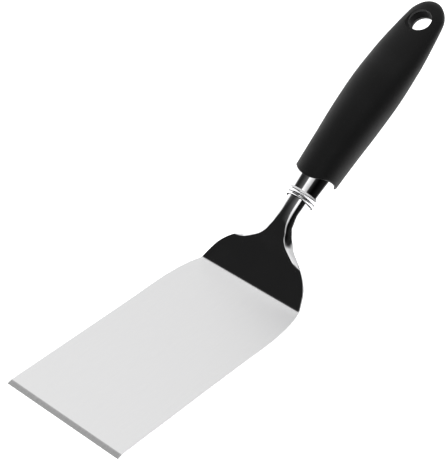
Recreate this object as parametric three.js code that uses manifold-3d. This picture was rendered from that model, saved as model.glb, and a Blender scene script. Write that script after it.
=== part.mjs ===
// A grill spatula: one pressed stainless sheet makes the blade, web, neck and tang. A plated
// ferrule and a collar close the joint, and a hard core inside a soft grip makes the handle.
// Millimetres, +Z up. The blade lies flat on Z = 0 and +Y runs from its edge to the handle.

import * as THREE from 'three';
import { mergeVertices } from 'three/addons/utils/BufferGeometryUtils.js';
import Module from 'manifold-3d';

const wasm = await Module();
wasm.setup();

// ---------------------------------------------------------------- driving dimensions

const CLEARANCE = 0.3;
// How far a joined or cutting solid runs into or past what it meets.
const RUN_ON = 1;
const CUT_PAST = 8;
// How far a round wall's facets cut inside its true radius, rounded up.
const FACET_SAG = 0.1;

const SHEET = 1.5;
const BLADE_LENGTH = 148.7;
const BLADE_HALF_WIDTH = 38;
const BLADE_WIDEST_AT = 118;
const BEVEL_LENGTH = 2.8;
const EDGE_LAND = 0.35;

const BEND_ANGLE = THREE.MathUtils.degToRad(49.3);
const BEND_RADIUS = 2.5;
const HANDLE_PITCH = THREE.MathUtils.degToRad(37.3);
const WEB_RADIUS = 267;

const STEM_HALF_WIDTH = 7.5;
const STEM_SKIRT = 2.6;
const STEM_BOW = 2.2;
const STEM_HOLE = 8.5;
const TANG_HALF_WIDTH = 6.4;
const TANG_FLAT_FROM = 13;
const TANG_END = 72;
const TANG_HOLE_RADIUS = 2.6;
const TANG_HOLES = [32, 54];

const COLLAR_RADIUS = 9.4;
const COLLAR_FRONT = -2.9;
const COLLAR_BACK = -1.1;

const FERRULE_WALL = 0.85;
const FERRULE_FRONT_RADIUS = 11.0;
const FERRULE_BACK_RADIUS = 12.35;
const FERRULE_END = 18;
const LIP_RADIUS = 11.8;
const LIP_ROUND = 0.75;
const LIP_INNER_RADIUS = 9.5;
const LIP_FLOOR_FRONT = -0.6;
const LIP_FRONT = -1.3;
const BARREL_START = 1.3;
const BARREL_INNER_STEP = 0.4;
const FLOOR_BEND = 0.8;

const GRIP_SIDE_RIM = 14.7;
const GRIP_TONGUE = 5.4;
const TONGUE_POWER = 2.5;
const GRIP_END = 139.4;
const GRIP_WALL = 2.6;
const GRIP_BOW = 4.9;
const BOW_POWER = 1.75;
const GRIP_SQUARENESS = 2.2;
const END_ROUND_WIDE = 11.6;
const END_ROUND_THICK = 5.2;

const HOLE_RADIUS = 6.8;
const HOLE_FLARE = 2;
const HOLE_FROM_END = 15.6;

const TOP_STEPS = 3;
const CORNER_STEPS = 5;
const LATHE_SEGMENTS = 36;
const ROLL_TURN = 80;
const LIP_TURN = 70;
const ROLL_STEPS = 6;
const GRIP_SEGMENTS = 28;
const MOUTH_TURN = 85;
const MOUTH_STEPS = 4;
const BLADE_STATIONS = 8;
const BEND_STATIONS = 7;
const NECK_STATION_COUNT = 34;
const TANG_STATIONS = 3;
const BODY_RINGS = 12;
const END_RINGS = 12;

// ---------------------------------------------------------------- shape helpers

// A smooth curve through [station, value] pairs that never overshoots them.
function smoothThrough(pairs) {
  const steps = pairs.slice(1).map(([at, value], i) => (value - pairs[i][1]) / (at - pairs[i][0]));
  const slopes = pairs.map((pair, i) => {
    if (i === 0) return steps[0];
    if (i === pairs.length - 1) return steps[i - 1];
    const product = steps[i - 1] * steps[i];
    return product > 0 ? (2 * product) / (steps[i - 1] + steps[i]) : 0;
  });
  return (station) => {
    const last = pairs.length - 1;
    const at = THREE.MathUtils.clamp(station, pairs[0][0], pairs[last][0]);
    const i = Math.min(Math.max(pairs.findIndex(([edge]) => edge >= at) - 1, 0), last - 1);
    const span = pairs[i + 1][0] - pairs[i][0];
    const t = (at - pairs[i][0]) / span;
    const rise = pairs[i + 1][1] - pairs[i][1];
    const cubic = (slopes[i] + slopes[i + 1]) * span - 2 * rise;
    const square = rise - slopes[i] * span - cubic;
    return pairs[i][1] + t * (slopes[i] * span + t * (square + t * cubic));
  };
}

// Joins rings of equal length into one closed body. Each cap is a list of ring corners.
function loft(rings, cap) {
  const around = rings[0].length;
  const positions = rings.flat().flatMap((point) => point.toArray());
  const index = [];
  for (let ring = 0; ring < rings.length - 1; ring += 1) {
    for (let i = 0; i < around; i += 1) {
      const a = ring * around + i;
      const b = ring * around + ((i + 1) % around);
      index.push(a, b, a + around, b, b + around, a + around);
    }
  }
  const end = (rings.length - 1) * around;
  for (const [a, b, c] of cap) {
    index.push(a, c, b);
    index.push(end + a, end + b, end + c);
  }
  const geometry = new THREE.BufferGeometry();
  geometry.setAttribute('position', new THREE.Float32BufferAttribute(positions, 3));
  geometry.setIndex(index);
  return geometry;
}

// The cap of a convex ring: a fan from its first corner.
function fanCap(around) {
  const cap = [];
  for (let i = 1; i < around - 1; i += 1) cap.push([0, i, i + 1]);
  return cap;
}

// The cap of a sheet's ring, whose second half runs back under its first half.
function stripCap(around) {
  const cap = [];
  for (let i = 0; i < around / 2 - 1; i += 1) {
    const under = around - 1 - i;
    cap.push([i, i + 1, under - 1], [i, under - 1, under]);
  }
  return cap;
}

function toSolid(geometry) {
  const bare = geometry.clone();
  bare.deleteAttribute('normal');
  bare.deleteAttribute('uv');
  const merged = mergeVertices(bare);
  const mesh = new wasm.Mesh({
    numProp: 3,
    vertProperties: new Float32Array(merged.attributes.position.array),
    triVerts: new Uint32Array(merged.index.array),
  });
  return new wasm.Manifold(mesh);
}

function toGeometry(solid) {
  const mesh = solid.getMesh();
  const geometry = new THREE.BufferGeometry();
  geometry.setAttribute('position', new THREE.BufferAttribute(mesh.vertProperties, 3));
  geometry.setIndex(new THREE.BufferAttribute(mesh.triVerts, 1));
  return geometry;
}

// A solid of revolution about the Y axis from [radius, height] corners.
function turned(profile) {
  const points = profile.map(([radius, height]) => new THREE.Vector2(radius, height));
  return new THREE.LatheGeometry(points, LATHE_SEGMENTS);
}

function arcPoints(centreX, centreY, radius, fromDegrees, toDegrees, steps) {
  const points = [];
  for (let i = 0; i <= steps; i += 1) {
    const angle = THREE.MathUtils.degToRad(THREE.MathUtils.lerp(fromDegrees, toDegrees, i / steps));
    points.push([centreX + radius * Math.cos(angle), centreY + radius * Math.sin(angle)]);
  }
  return points;
}

// A round bar through the handle along its local Z.
function crossBar(radius, y, length) {
  const bar = new THREE.CylinderGeometry(radius, radius, length, LATHE_SEGMENTS);
  bar.rotateX(Math.PI / 2);
  bar.translate(0, y, 0);
  return toSolid(bar);
}

// ---------------------------------------------------------------- the sheet's side profile

const FLAT_END = BLADE_LENGTH - BEND_RADIUS * Math.tan(BEND_ANGLE / 2);
const BEND_END = FLAT_END + BEND_RADIUS * BEND_ANGLE;
const WEB_END = BEND_END + WEB_RADIUS * (BEND_ANGLE - HANDLE_PITCH);

// Place and pitch of the sheet's upper face, at a length along it from the front edge.
function profileAt(along) {
  if (along <= FLAT_END) return { y: along, z: SHEET, pitch: 0 };
  const bend = Math.min((along - FLAT_END) / BEND_RADIUS, BEND_ANGLE);
  const bendY = FLAT_END + BEND_RADIUS * Math.sin(bend);
  const bendZ = SHEET + BEND_RADIUS * (1 - Math.cos(bend));
  if (along <= BEND_END) return { y: bendY, z: bendZ, pitch: bend };
  const pitch = Math.max(BEND_ANGLE - (along - BEND_END) / WEB_RADIUS, HANDLE_PITCH);
  const straight = Math.max(along - WEB_END, 0);
  const y = bendY + WEB_RADIUS * (Math.sin(BEND_ANGLE) - Math.sin(pitch)) + straight * Math.cos(pitch);
  const z = bendZ + WEB_RADIUS * (Math.cos(pitch) - Math.cos(BEND_ANGLE)) + straight * Math.sin(pitch);
  return { y, z, pitch };
}

// ---------------------------------------------------------------- the sheet's cross section

// Half width of the sheet, at a length along it.
const halfWidthAt = smoothThrough([
  [0, BLADE_HALF_WIDTH],
  [90, BLADE_HALF_WIDTH + 0.5],
  [BLADE_WIDEST_AT, BLADE_HALF_WIDTH + 1],
  [132, BLADE_HALF_WIDTH + 0.3],
  [141, BLADE_HALF_WIDTH - 1],
  [BLADE_LENGTH, 35.0],
  [BLADE_LENGTH + 8, 32.5],
  [BLADE_LENGTH + 12, 30.7],
  [BLADE_LENGTH + 16, 28.0],
  [BLADE_LENGTH + 20, 24.2],
  [BLADE_LENGTH + 24, 18.6],
  [BLADE_LENGTH + 28, 13.2],
  [BLADE_LENGTH + 32, 10.3],
  [BLADE_LENGTH + 38, 8.1],
  [BLADE_LENGTH + 46, STEM_HALF_WIDTH],
  [WEB_END + 4, STEM_HALF_WIDTH],
  [WEB_END + TANG_FLAT_FROM, TANG_HALF_WIDTH],
]);

// Height of the sheet's middle above its side profile.
const crownAt = smoothThrough([
  [BLADE_LENGTH + 8, 0],
  [BLADE_LENGTH + 20, 1.3],
  [BLADE_LENGTH + 30, 4.5],
  [BLADE_LENGTH + 40, 6.9],
  [BLADE_LENGTH + 50, STEM_HALF_WIDTH],
  [WEB_END + 2, STEM_HALF_WIDTH],
  [WEB_END + TANG_FLAT_FROM, 0],
]);

// How much the sheet's top bows down from its middle to its edges.
const bowAt = smoothThrough([
  [BLADE_LENGTH + 8, 0],
  [BLADE_LENGTH + 20, 0.3],
  [BLADE_LENGTH + 30, 0.9],
  [BLADE_LENGTH + 46, STEM_BOW],
  [WEB_END + 2, STEM_BOW],
  [WEB_END + TANG_FLAT_FROM, 0],
]);

// How far the rolled corners drop below the bowed top.
const dropAt = smoothThrough([
  [BLADE_LENGTH + 17, 0],
  [BLADE_LENGTH + 20, 2.0],
  [BLADE_LENGTH + 24, 4.2],
  [BLADE_LENGTH + 28, 5.8],
  [BLADE_LENGTH + 34, 7.2],
  [BLADE_LENGTH + 46, STEM_HALF_WIDTH + STEM_SKIRT - STEM_BOW],
  [WEB_END + 2, STEM_HALF_WIDTH + STEM_SKIRT - STEM_BOW],
  [WEB_END + TANG_FLAT_FROM, 0],
]);

// Width of the rolled corners.
const rollWidthAt = smoothThrough([
  [BLADE_LENGTH + 16, 2.6],
  [BLADE_LENGTH + 22, 3.5],
  [BLADE_LENGTH + 28, 3.9],
  [BLADE_LENGTH + 46, 3.4],
]);

// How far the sheet's edges are turned down, in degrees.
const edgeTurnAt = smoothThrough([
  [BLADE_LENGTH + 17, 0],
  [BLADE_LENGTH + 20, 45],
  [BLADE_LENGTH + 24, 75],
  [BLADE_LENGTH + 30, 90],
  [WEB_END + 2, 90],
  [WEB_END + TANG_FLAT_FROM - 2, 60],
  [WEB_END + TANG_FLAT_FROM, 0],
]);

// One face of a section from left to right: a bowed top between two rolled corners.
function faceLine(halfWidth, crown, bow, drop, rollWidth) {
  const half = [];
  for (let i = 0; i < TOP_STEPS; i += 1) {
    half.push([((halfWidth - rollWidth) * i) / TOP_STEPS, 0]);
  }
  for (let i = 0; i <= CORNER_STEPS; i += 1) {
    const angle = ((Math.PI / 2) * i) / CORNER_STEPS;
    half.push([halfWidth - rollWidth * (1 - Math.sin(angle)), drop * (1 - Math.cos(angle))]);
  }
  const right = half.map(([x, fall]) => new THREE.Vector2(x, crown - bow * (x / halfWidth) ** 2 - fall));
  const left = right.slice(1).map((point) => new THREE.Vector2(-point.x, point.y));
  return [...left.reverse(), ...right];
}

// A section of the sheet as a closed ring, over its top and back under it. The grow value
// makes it larger all round, for the slot that the sheet fits.
function sheetSection(along, grow) {
  const turn = THREE.MathUtils.degToRad(edgeTurnAt(along));
  const sin = Math.sin(turn);
  const cos = Math.cos(turn);
  const bow = bowAt(along);
  const crown = crownAt(along);
  const inward = SHEET * sin - grow * (cos - sin);
  const bevel = Math.max(1 - along / BEVEL_LENGTH, 0) * (SHEET - EDGE_LAND);
  const top = { width: halfWidthAt(along) + grow, crown: crown + grow - bevel };
  const low = { width: halfWidthAt(along) - inward, crown: crown - SHEET - grow };
  top.drop = dropAt(along) + grow * (1 - cos + sin);
  low.drop = dropAt(along) - SHEET * (1 - cos);
  top.roll = rollWidthAt(along) + grow;
  low.roll = rollWidthAt(along) - inward;
  const upper = faceLine(top.width, top.crown, bow, top.drop, top.roll);
  const lower = faceLine(low.width, low.crown, bow, low.drop, low.roll);
  return [...upper, ...lower.reverse()];
}

function placeOnProfile(along) {
  const { y, z, pitch } = profileAt(along);
  const sin = Math.sin(pitch);
  const cos = Math.cos(pitch);
  return (point) => new THREE.Vector3(point.x, y - point.y * sin, z + point.y * cos);
}

function placeOnHandle(along) {
  return (point) => new THREE.Vector3(point.x, along - WEB_END, point.y);
}

function spaced(from, to, count) {
  return Array.from({ length: count }, (_, i) => THREE.MathUtils.lerp(from, to, i / (count - 1)));
}

const NECK_STATIONS = spaced(BEND_END, WEB_END + TANG_FLAT_FROM, NECK_STATION_COUNT);

function sheetBody(stations, grow, place) {
  const rings = stations.map((along) => sheetSection(along, grow).map(place(along)));
  return toSolid(loft(rings, stripCap(rings[0].length)));
}

function tangPlugs(radius) {
  const bars = TANG_HOLES.map((y) => crossBar(radius, y, 2 * (TANG_HALF_WIDTH + CUT_PAST)));
  return bars.reduce((all, bar) => all.add(bar));
}

// ---------------------------------------------------------------- the pieces

// Blade, bend, web, neck and tang: one sheet, cut out and pressed.
function bladeHeadGeometry() {
  const stations = [
    0,
    ...spaced(BEVEL_LENGTH, BLADE_WIDEST_AT, BLADE_STATIONS),
    ...spaced(BLADE_WIDEST_AT, FLAT_END, BEND_STATIONS).slice(1),
    ...spaced(FLAT_END, BEND_END, BEND_STATIONS).slice(1),
    ...NECK_STATIONS.slice(1),
    ...spaced(WEB_END + TANG_FLAT_FROM, WEB_END + TANG_END, TANG_STATIONS).slice(1),
  ];
  const sheet = sheetBody(stations, 0, placeOnProfile);
  const seat = profileAt(WEB_END);
  const holes = tangPlugs(TANG_HOLE_RADIUS);
  const placed = holes.rotate([THREE.MathUtils.radToDeg(HANDLE_PITCH), 0, 0]);
  return toGeometry(sheet.subtract(placed.translate([0, seat.y, seat.z])));
}

// A rolled ring that the stem passes through, in front of the ferrule.
function stemCollarGeometry() {
  const round = (COLLAR_BACK - COLLAR_FRONT) / 2;
  const middle = (COLLAR_BACK + COLLAR_FRONT) / 2;
  const bead = arcPoints(COLLAR_RADIUS - round, middle, round, -ROLL_TURN, ROLL_TURN, ROLL_STEPS);
  return turned([[STEM_HOLE, COLLAR_FRONT], ...bead, [STEM_HOLE, COLLAR_BACK], [STEM_HOLE, COLLAR_FRONT]]);
}

function ferruleBarrelRadius(y) {
  return THREE.MathUtils.mapLinear(y, LIP_ROUND, FERRULE_END, FERRULE_FRONT_RADIUS, FERRULE_BACK_RADIUS);
}

// A drawn cup: a rolled lip in front, a flaring barrel, and a floor with a hole for the stem.
function ferruleGeometry() {
  const floorBack = LIP_FLOOR_FRONT + FERRULE_WALL;
  const innerFront = ferruleBarrelRadius(LIP_ROUND) - FERRULE_WALL - BARREL_INNER_STEP;
  return turned([
    [STEM_HOLE, LIP_FLOOR_FRONT],
    [LIP_INNER_RADIUS - LIP_ROUND / 2, LIP_FLOOR_FRONT],
    [LIP_INNER_RADIUS, LIP_FRONT],
    ...arcPoints(LIP_RADIUS - LIP_ROUND, 0, LIP_ROUND, -LIP_TURN, LIP_TURN, ROLL_STEPS),
    [ferruleBarrelRadius(BARREL_START), BARREL_START],
    [FERRULE_BACK_RADIUS, FERRULE_END],
    [FERRULE_BACK_RADIUS - FERRULE_WALL, FERRULE_END],
    [innerFront, BARREL_START],
    [innerFront - FLOOR_BEND, floorBack],
    [STEM_HOLE, floorBack],
    [STEM_HOLE, LIP_FLOOR_FRONT],
  ]);
}

// Half width and half thickness of the grip along the handle.
const gripHalfWidthAt = smoothThrough([
  [7, 12.7],
  [34, 14.0],
  [55, 15.3],
  [76, 16.0],
  [97, 15.3],
  [118, 13.1],
  [GRIP_END, 9.6],
]);

const gripHalfThicknessAt = smoothThrough([
  [7, 12.3],
  [34, 13.3],
  [55, 13.7],
  [76, 13.0],
  [97, 10.7],
  [118, 7.8],
  [GRIP_END, 4.8],
]);

// The handle's middle line dips by GRIP_BOW from its front to its end.
function gripMiddleAt(y) {
  const share = Math.max(y - GRIP_SIDE_RIM, 0) / (GRIP_END - GRIP_SIDE_RIM);
  return -GRIP_BOW * share ** BOW_POWER;
}

// How far an end's rounding has closed in, from 1 at its start to 0 at the tip.
function rounding(y, tip, length) {
  const into = THREE.MathUtils.clamp((y - (tip - length)) / length, 0, 1);
  return Math.sqrt(Math.max(1 - into ** 2, 0));
}

// One corner of the handle's surface, at an angle from its top, set in from the outside.
function gripPoint(angle, y, inset, tip) {
  const power = 2 / GRIP_SQUARENESS;
  const across = Math.sign(Math.sin(angle)) * Math.abs(Math.sin(angle)) ** power;
  const up = Math.sign(Math.cos(angle)) * Math.abs(Math.cos(angle)) ** power;
  const wide = (gripHalfWidthAt(y) - inset) * rounding(y, tip, END_ROUND_WIDE - inset);
  const thick = (gripHalfThicknessAt(y) - inset) * rounding(y, tip, END_ROUND_THICK - inset / 2);
  return new THREE.Vector3(across * wide, y, gripMiddleAt(y) + up * thick);
}

// The handle's outer form, with its front edge at rim(angle). Its rings are even along the
// body and close up round the end.
function gripForm(rim, inset) {
  const tip = GRIP_END - inset;
  const bodyEnd = tip - END_ROUND_WIDE;
  const rings = [];
  for (let ring = 0; ring <= BODY_RINGS + END_RINGS; ring += 1) {
    const along = Math.min(ring / BODY_RINGS, 1);
    const turn = (Math.PI / 2) * (Math.max(ring - BODY_RINGS, 0) / (END_RINGS + 0.5));
    const corners = [];
    for (let i = 0; i < GRIP_SEGMENTS; i += 1) {
      const angle = (2 * Math.PI * i) / GRIP_SEGMENTS;
      const y = THREE.MathUtils.lerp(rim(angle), bodyEnd, along) + END_ROUND_WIDE * Math.sin(turn);
      corners.push(gripPoint(angle, y, inset, tip));
    }
    rings.push(corners);
  }
  return toSolid(loft(rings, fanCap(GRIP_SEGMENTS)));
}

// The hanging hole with its rounded mouths, as a solid to cut away.
function hangingHole(grow) {
  const y = GRIP_END - HOLE_FROM_END;
  const face = gripHalfThicknessAt(y);
  const radius = HOLE_RADIUS + grow;
  const outside = face + CUT_PAST;
  const centre = [radius + HOLE_FLARE, face - HOLE_FLARE];
  const mouth = arcPoints(...centre, HOLE_FLARE, 180, 180 - MOUTH_TURN, MOUTH_STEPS);
  const upper = [...mouth, [radius + HOLE_FLARE, outside], [0, outside]];
  const lower = upper.map(([r, height]) => [r, -height]).reverse();
  const hole = turned([...lower, ...upper]);
  hole.rotateX(Math.PI / 2);
  hole.translate(0, y, gripMiddleAt(y));
  return toSolid(hole);
}

const CORE_FRONT = FERRULE_END + 2 * CLEARANCE;
const NOSE_FRONT = -1.9;

// The moulded plug that fills the ferrule in front of the core, and runs on into the core.
function coreNose() {
  const shoulder = LIP_ROUND + RUN_ON;
  const innerFront = ferruleBarrelRadius(LIP_ROUND) - FERRULE_WALL - BARREL_INNER_STEP;
  const front = innerFront - CLEARANCE - FLOOR_BEND / 2;
  const back = gripHalfThicknessAt(CORE_FRONT) - GRIP_WALL - 2 * CLEARANCE;
  return toSolid(turned([
    [0, NOSE_FRONT],
    [STEM_HOLE - CLEARANCE, NOSE_FRONT],
    [STEM_HOLE - CLEARANCE, LIP_ROUND],
    [front, shoulder],
    [back, FERRULE_END],
    [back, CORE_FRONT + RUN_ON],
    [0, CORE_FRONT + RUN_ON],
  ]));
}

function tangSlot() {
  const stations = NECK_STATIONS.filter((along) => along > WEB_END - STEM_HALF_WIDTH);
  stations.push(WEB_END + TANG_END + CLEARANCE);
  return sheetBody(stations, CLEARANCE, placeOnHandle).subtract(tangPlugs(TANG_HOLE_RADIUS - CLEARANCE));
}

// The hard core, moulded round the tang and into the ferrule.
function handleCoreGeometry() {
  const body = gripForm(() => CORE_FRONT, GRIP_WALL + CLEARANCE);
  const solid = body.add(coreNose()).subtract(tangSlot()).subtract(hangingHole(FACET_SAG));
  return toGeometry(solid);
}

// The grip's front edge: level round the sides and below, with a tongue on top.
function gripRim(angle) {
  return GRIP_SIDE_RIM - GRIP_TONGUE * Math.max(Math.cos(angle), 0) ** TONGUE_POWER;
}

// The room that the ferrule's barrel takes inside the grip.
function barrelSpace() {
  return toSolid(turned([
    [0, 0],
    [ferruleBarrelRadius(0) + CLEARANCE, 0],
    [FERRULE_BACK_RADIUS + CLEARANCE, FERRULE_END + CLEARANCE],
    [0, FERRULE_END + CLEARANCE],
  ]));
}

// The soft skin over the core.
function softGripGeometry() {
  const coreSpace = gripForm(() => CORE_FRONT - RUN_ON, GRIP_WALL);
  const skin = gripForm(gripRim, 0).subtract(coreSpace);
  return toGeometry(skin.subtract(barrelSpace()).subtract(hangingHole(0)));
}

// ---------------------------------------------------------------- assembly

function namedMesh(name, geometry, color, roughness, metalness) {
  const material = new THREE.MeshStandardMaterial({ color, roughness, metalness });
  const mesh = new THREE.Mesh(geometry, material);
  mesh.name = name;
  return mesh;
}

// The handle's own frame: +Y along it, with its origin in the plane of the ferrule's lip.
function makeHandle() {
  const seat = profileAt(WEB_END);
  const handle = new THREE.Group();
  handle.position.set(0, seat.y, seat.z);
  handle.rotation.x = HANDLE_PITCH;
  handle.add(namedMesh('stem_collar', stemCollarGeometry(), 0xd9d9da, 0.1, 1));
  handle.add(namedMesh('ferrule', ferruleGeometry(), 0xdcdcde, 0.08, 1));
  handle.add(namedMesh('handle_core', handleCoreGeometry(), 0x0c0c0d, 0.35, 0));
  handle.add(namedMesh('soft_grip', softGripGeometry(), 0x232324, 0.7, 0));
  return handle;
}

const spatula = new THREE.Group();
spatula.add(namedMesh('blade_head', bladeHeadGeometry(), 0xc9c9ca, 0.3, 1));
spatula.add(makeHandle());

// The origin is under the middle of the whole length.
const extent = new THREE.Box3().setFromObject(spatula, true);
spatula.position.y = -(extent.min.y + extent.max.y) / 2;

export default spatula;
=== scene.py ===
# %% [markdown]
# # A grill spatula
# A flat steel blade, bent up into a neck, with a chromed ferrule and a soft black handle.
# The measured parts come in first. They fix every size and place, and each finer piece made
# here stands in for one of them.

# %% Load the measured parts
import math

import bmesh
import bpy
import numpy as np
from mathutils import Matrix, Vector


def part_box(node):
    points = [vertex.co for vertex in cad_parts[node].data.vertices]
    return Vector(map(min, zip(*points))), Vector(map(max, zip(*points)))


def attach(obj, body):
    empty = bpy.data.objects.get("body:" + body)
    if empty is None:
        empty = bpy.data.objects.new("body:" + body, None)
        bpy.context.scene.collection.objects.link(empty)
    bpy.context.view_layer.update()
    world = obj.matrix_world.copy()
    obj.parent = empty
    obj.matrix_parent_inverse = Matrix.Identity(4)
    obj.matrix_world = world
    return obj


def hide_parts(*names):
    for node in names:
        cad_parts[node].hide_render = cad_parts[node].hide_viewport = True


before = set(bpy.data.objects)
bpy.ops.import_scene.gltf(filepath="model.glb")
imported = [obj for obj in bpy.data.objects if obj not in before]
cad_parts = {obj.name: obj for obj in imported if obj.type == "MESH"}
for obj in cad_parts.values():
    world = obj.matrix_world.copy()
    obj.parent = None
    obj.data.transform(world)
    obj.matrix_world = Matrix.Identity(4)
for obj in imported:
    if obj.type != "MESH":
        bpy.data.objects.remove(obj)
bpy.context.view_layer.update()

# %% [markdown]
# ## Working in millimetres
# A toolmaker thinks in millimetres and Blender in metres. The shapes below are written in
# millimetres and turned into metres as each mesh is made. The blade's front edge is the
# zero for lengths, so its place is read from the measured blade.

# %% Units and the blade's place
MM = 0.001
EDGE_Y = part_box("blade_head")[0].y

print("the front edge lies at y =", round(EDGE_Y, 4))


# %% [markdown]
# ## A smooth curve through a few stations
# A pressed sheet or a moulded grip is drawn with a few widths along its length and a fair
# curve through them. This helper bends through its stations without ever overshooting,
# which keeps the outline calm.

# %% Fair curve helper
def smooth_through(pairs):
    at = np.array([pair[0] for pair in pairs], float)
    value = np.array([pair[1] for pair in pairs], float)
    steps = np.diff(value) / np.diff(at)
    slopes = np.zeros(len(at))
    slopes[0], slopes[-1] = steps[0], steps[-1]
    for i in range(1, len(at) - 1):
        product = steps[i - 1] * steps[i]
        slopes[i] = 2 * product / (steps[i - 1] + steps[i]) if product > 0 else 0.0

    def curve(station):
        where = min(max(station, at[0]), at[-1])
        i = min(max(int(np.searchsorted(at, where)) - 1, 0), len(at) - 2)
        span = at[i + 1] - at[i]
        t = (where - at[i]) / span
        rise = value[i + 1] - value[i]
        cubic = (slopes[i] + slopes[i + 1]) * span - 2 * rise
        square = rise - slopes[i] * span - cubic
        return value[i] + t * (slopes[i] * span + t * (square + t * cubic))

    return curve


# %% [markdown]
# ## Skinning rings into a solid
# Most of these pieces are lofts: rings of points joined by four-sided faces and closed at
# both ends. bmesh then recalculates the normals, so that they face out.
# Shading is smooth, and edges sharper than an angle stay crisp.

# %% Loft and mesh helpers
CREASE = math.radians(35)


def new_piece(name, verts, faces):
    mesh = bpy.data.meshes.new(name)
    mesh.from_pydata([tuple(v) for v in verts], [], faces)
    work = bmesh.new()
    work.from_mesh(mesh)
    bmesh.ops.recalc_face_normals(work, faces=work.faces)
    work.to_mesh(mesh)
    work.free()
    mesh.shade_smooth()
    mesh.set_sharp_from_angle(angle=CREASE)
    piece = bpy.data.objects.new(name, mesh)
    bpy.context.scene.collection.objects.link(piece)
    return piece


def loft_faces(ring_count, around, closed_loop=False):
    faces = []
    last = ring_count if closed_loop else ring_count - 1
    for ring in range(last):
        here, there = ring * around, ((ring + 1) % ring_count) * around
        for i in range(around):
            j = (i + 1) % around
            faces.append((here + i, here + j, there + j, there + i))
    return faces


def capped_loft(name, verts, around):
    """Rings of so many points, joined in turn, with one flat face at each end."""
    ring_count = len(verts) // around
    end = (ring_count - 1) * around
    caps = [tuple(range(around)), tuple(end + i for i in range(around))]
    return new_piece(name, verts, loft_faces(ring_count, around) + caps)


# %% [markdown]
# ## The sheet's side profile
# Blade, web and neck are one stainless sheet. From the side it is a straight line, a tight
# bend made in a press brake, and a long easy curve up to the handle. A point along the
# sheet is found by walking this profile.

# %% Side profile of the sheet
SHEET = 1.5
BLADE_LENGTH = 148.7
BEND_ANGLE = math.radians(49.3)
BEND_RADIUS = 2.5
HANDLE_PITCH = math.radians(37.3)
WEB_RADIUS = 267.0
FLAT_END = BLADE_LENGTH - BEND_RADIUS * math.tan(BEND_ANGLE / 2)
BEND_END = FLAT_END + BEND_RADIUS * BEND_ANGLE
WEB_END = BEND_END + WEB_RADIUS * (BEND_ANGLE - HANDLE_PITCH)


def profile_at(along):
    if along <= FLAT_END:
        return along, SHEET, 0.0
    bend = min((along - FLAT_END) / BEND_RADIUS, BEND_ANGLE)
    bend_y = FLAT_END + BEND_RADIUS * math.sin(bend)
    bend_z = SHEET + BEND_RADIUS * (1 - math.cos(bend))
    if along <= BEND_END:
        return bend_y, bend_z, bend
    pitch = max(BEND_ANGLE - (along - BEND_END) / WEB_RADIUS, HANDLE_PITCH)
    straight = max(along - WEB_END, 0)
    y = bend_y + WEB_RADIUS * (math.sin(BEND_ANGLE) - math.sin(pitch)) + straight * math.cos(pitch)
    z = bend_z + WEB_RADIUS * (math.cos(pitch) - math.cos(BEND_ANGLE)) + straight * math.sin(pitch)
    return y, z, pitch


SEAT_Y, SEAT_Z, _ = profile_at(WEB_END)
print("the neck meets the ferrule at", round(SEAT_Y, 1), round(SEAT_Z, 1), "mm")

# %% [markdown]
# ## The sheet's outline and its pressed form
# The outline swells a little at the back of the blade, sweeps in over the web and ends in a
# narrow neck. The form changes on the way, and gives the thin sheet its stiffness. The crown
# lifts the middle, the bow rounds the top from side to side, and the drop is how far the
# rolled edges fall below it. At the neck the sheet is a deep channel, open underneath, and
# inside the handle it is flat again. On the shoulder the rolled edges start a little later
# and are a little wider than on the measured sheet, which moves the surface by less than 1 mm.

# %% Outline, crown, bow and rolled edges
BLADE_HALF_WIDTH = 38.0
STEM_HALF_WIDTH = 7.5
STEM_SKIRT = 2.6
STEM_BOW = 2.2
STEM_HOLE = 8.5
TANG_FLAT_FROM = 13.0
TANG_HALF_WIDTH = 6.4
TANG_END = 72.0
BEVEL_LENGTH = 2.8
EDGE_LAND = 0.35

half_width_at = smooth_through([
    (0, BLADE_HALF_WIDTH),
    (90, BLADE_HALF_WIDTH + 0.5),
    (118, BLADE_HALF_WIDTH + 1),
    (132, BLADE_HALF_WIDTH + 0.3),
    (141, BLADE_HALF_WIDTH - 1),
    (BLADE_LENGTH, 35.0),
    (BLADE_LENGTH + 8, 32.5),
    (BLADE_LENGTH + 12, 30.7),
    (BLADE_LENGTH + 16, 28.0),
    (BLADE_LENGTH + 20, 24.2),
    (BLADE_LENGTH + 24, 18.6),
    (BLADE_LENGTH + 28, 13.2),
    (BLADE_LENGTH + 32, 10.3),
    (BLADE_LENGTH + 38, 8.1),
    (BLADE_LENGTH + 46, STEM_HALF_WIDTH),
    (WEB_END + 4, STEM_HALF_WIDTH),
    (WEB_END + TANG_FLAT_FROM, TANG_HALF_WIDTH),
])
crown_at = smooth_through([
    (BLADE_LENGTH + 8, 0),
    (BLADE_LENGTH + 20, 1.3),
    (BLADE_LENGTH + 30, 4.5),
    (BLADE_LENGTH + 40, 6.9),
    (BLADE_LENGTH + 50, STEM_HALF_WIDTH),
    (WEB_END + 2, STEM_HALF_WIDTH),
    (WEB_END + TANG_FLAT_FROM, 0),
])
bow_at = smooth_through([
    (BLADE_LENGTH + 8, 0),
    (BLADE_LENGTH + 20, 0.3),
    (BLADE_LENGTH + 30, 0.9),
    (BLADE_LENGTH + 46, STEM_BOW),
    (WEB_END + 2, STEM_BOW),
    (WEB_END + TANG_FLAT_FROM, 0),
])
drop_at = smooth_through([
    (BLADE_LENGTH + 20.5, 0),
    (BLADE_LENGTH + 22.5, 2.1),
    (BLADE_LENGTH + 26, 3.9),
    (BLADE_LENGTH + 29, 5.4),
    (BLADE_LENGTH + 34, 7.2),
    (BLADE_LENGTH + 46, STEM_HALF_WIDTH + STEM_SKIRT - STEM_BOW),
    (WEB_END + 2, STEM_HALF_WIDTH + STEM_SKIRT - STEM_BOW),
    (WEB_END + TANG_FLAT_FROM, 0),
])
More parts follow.
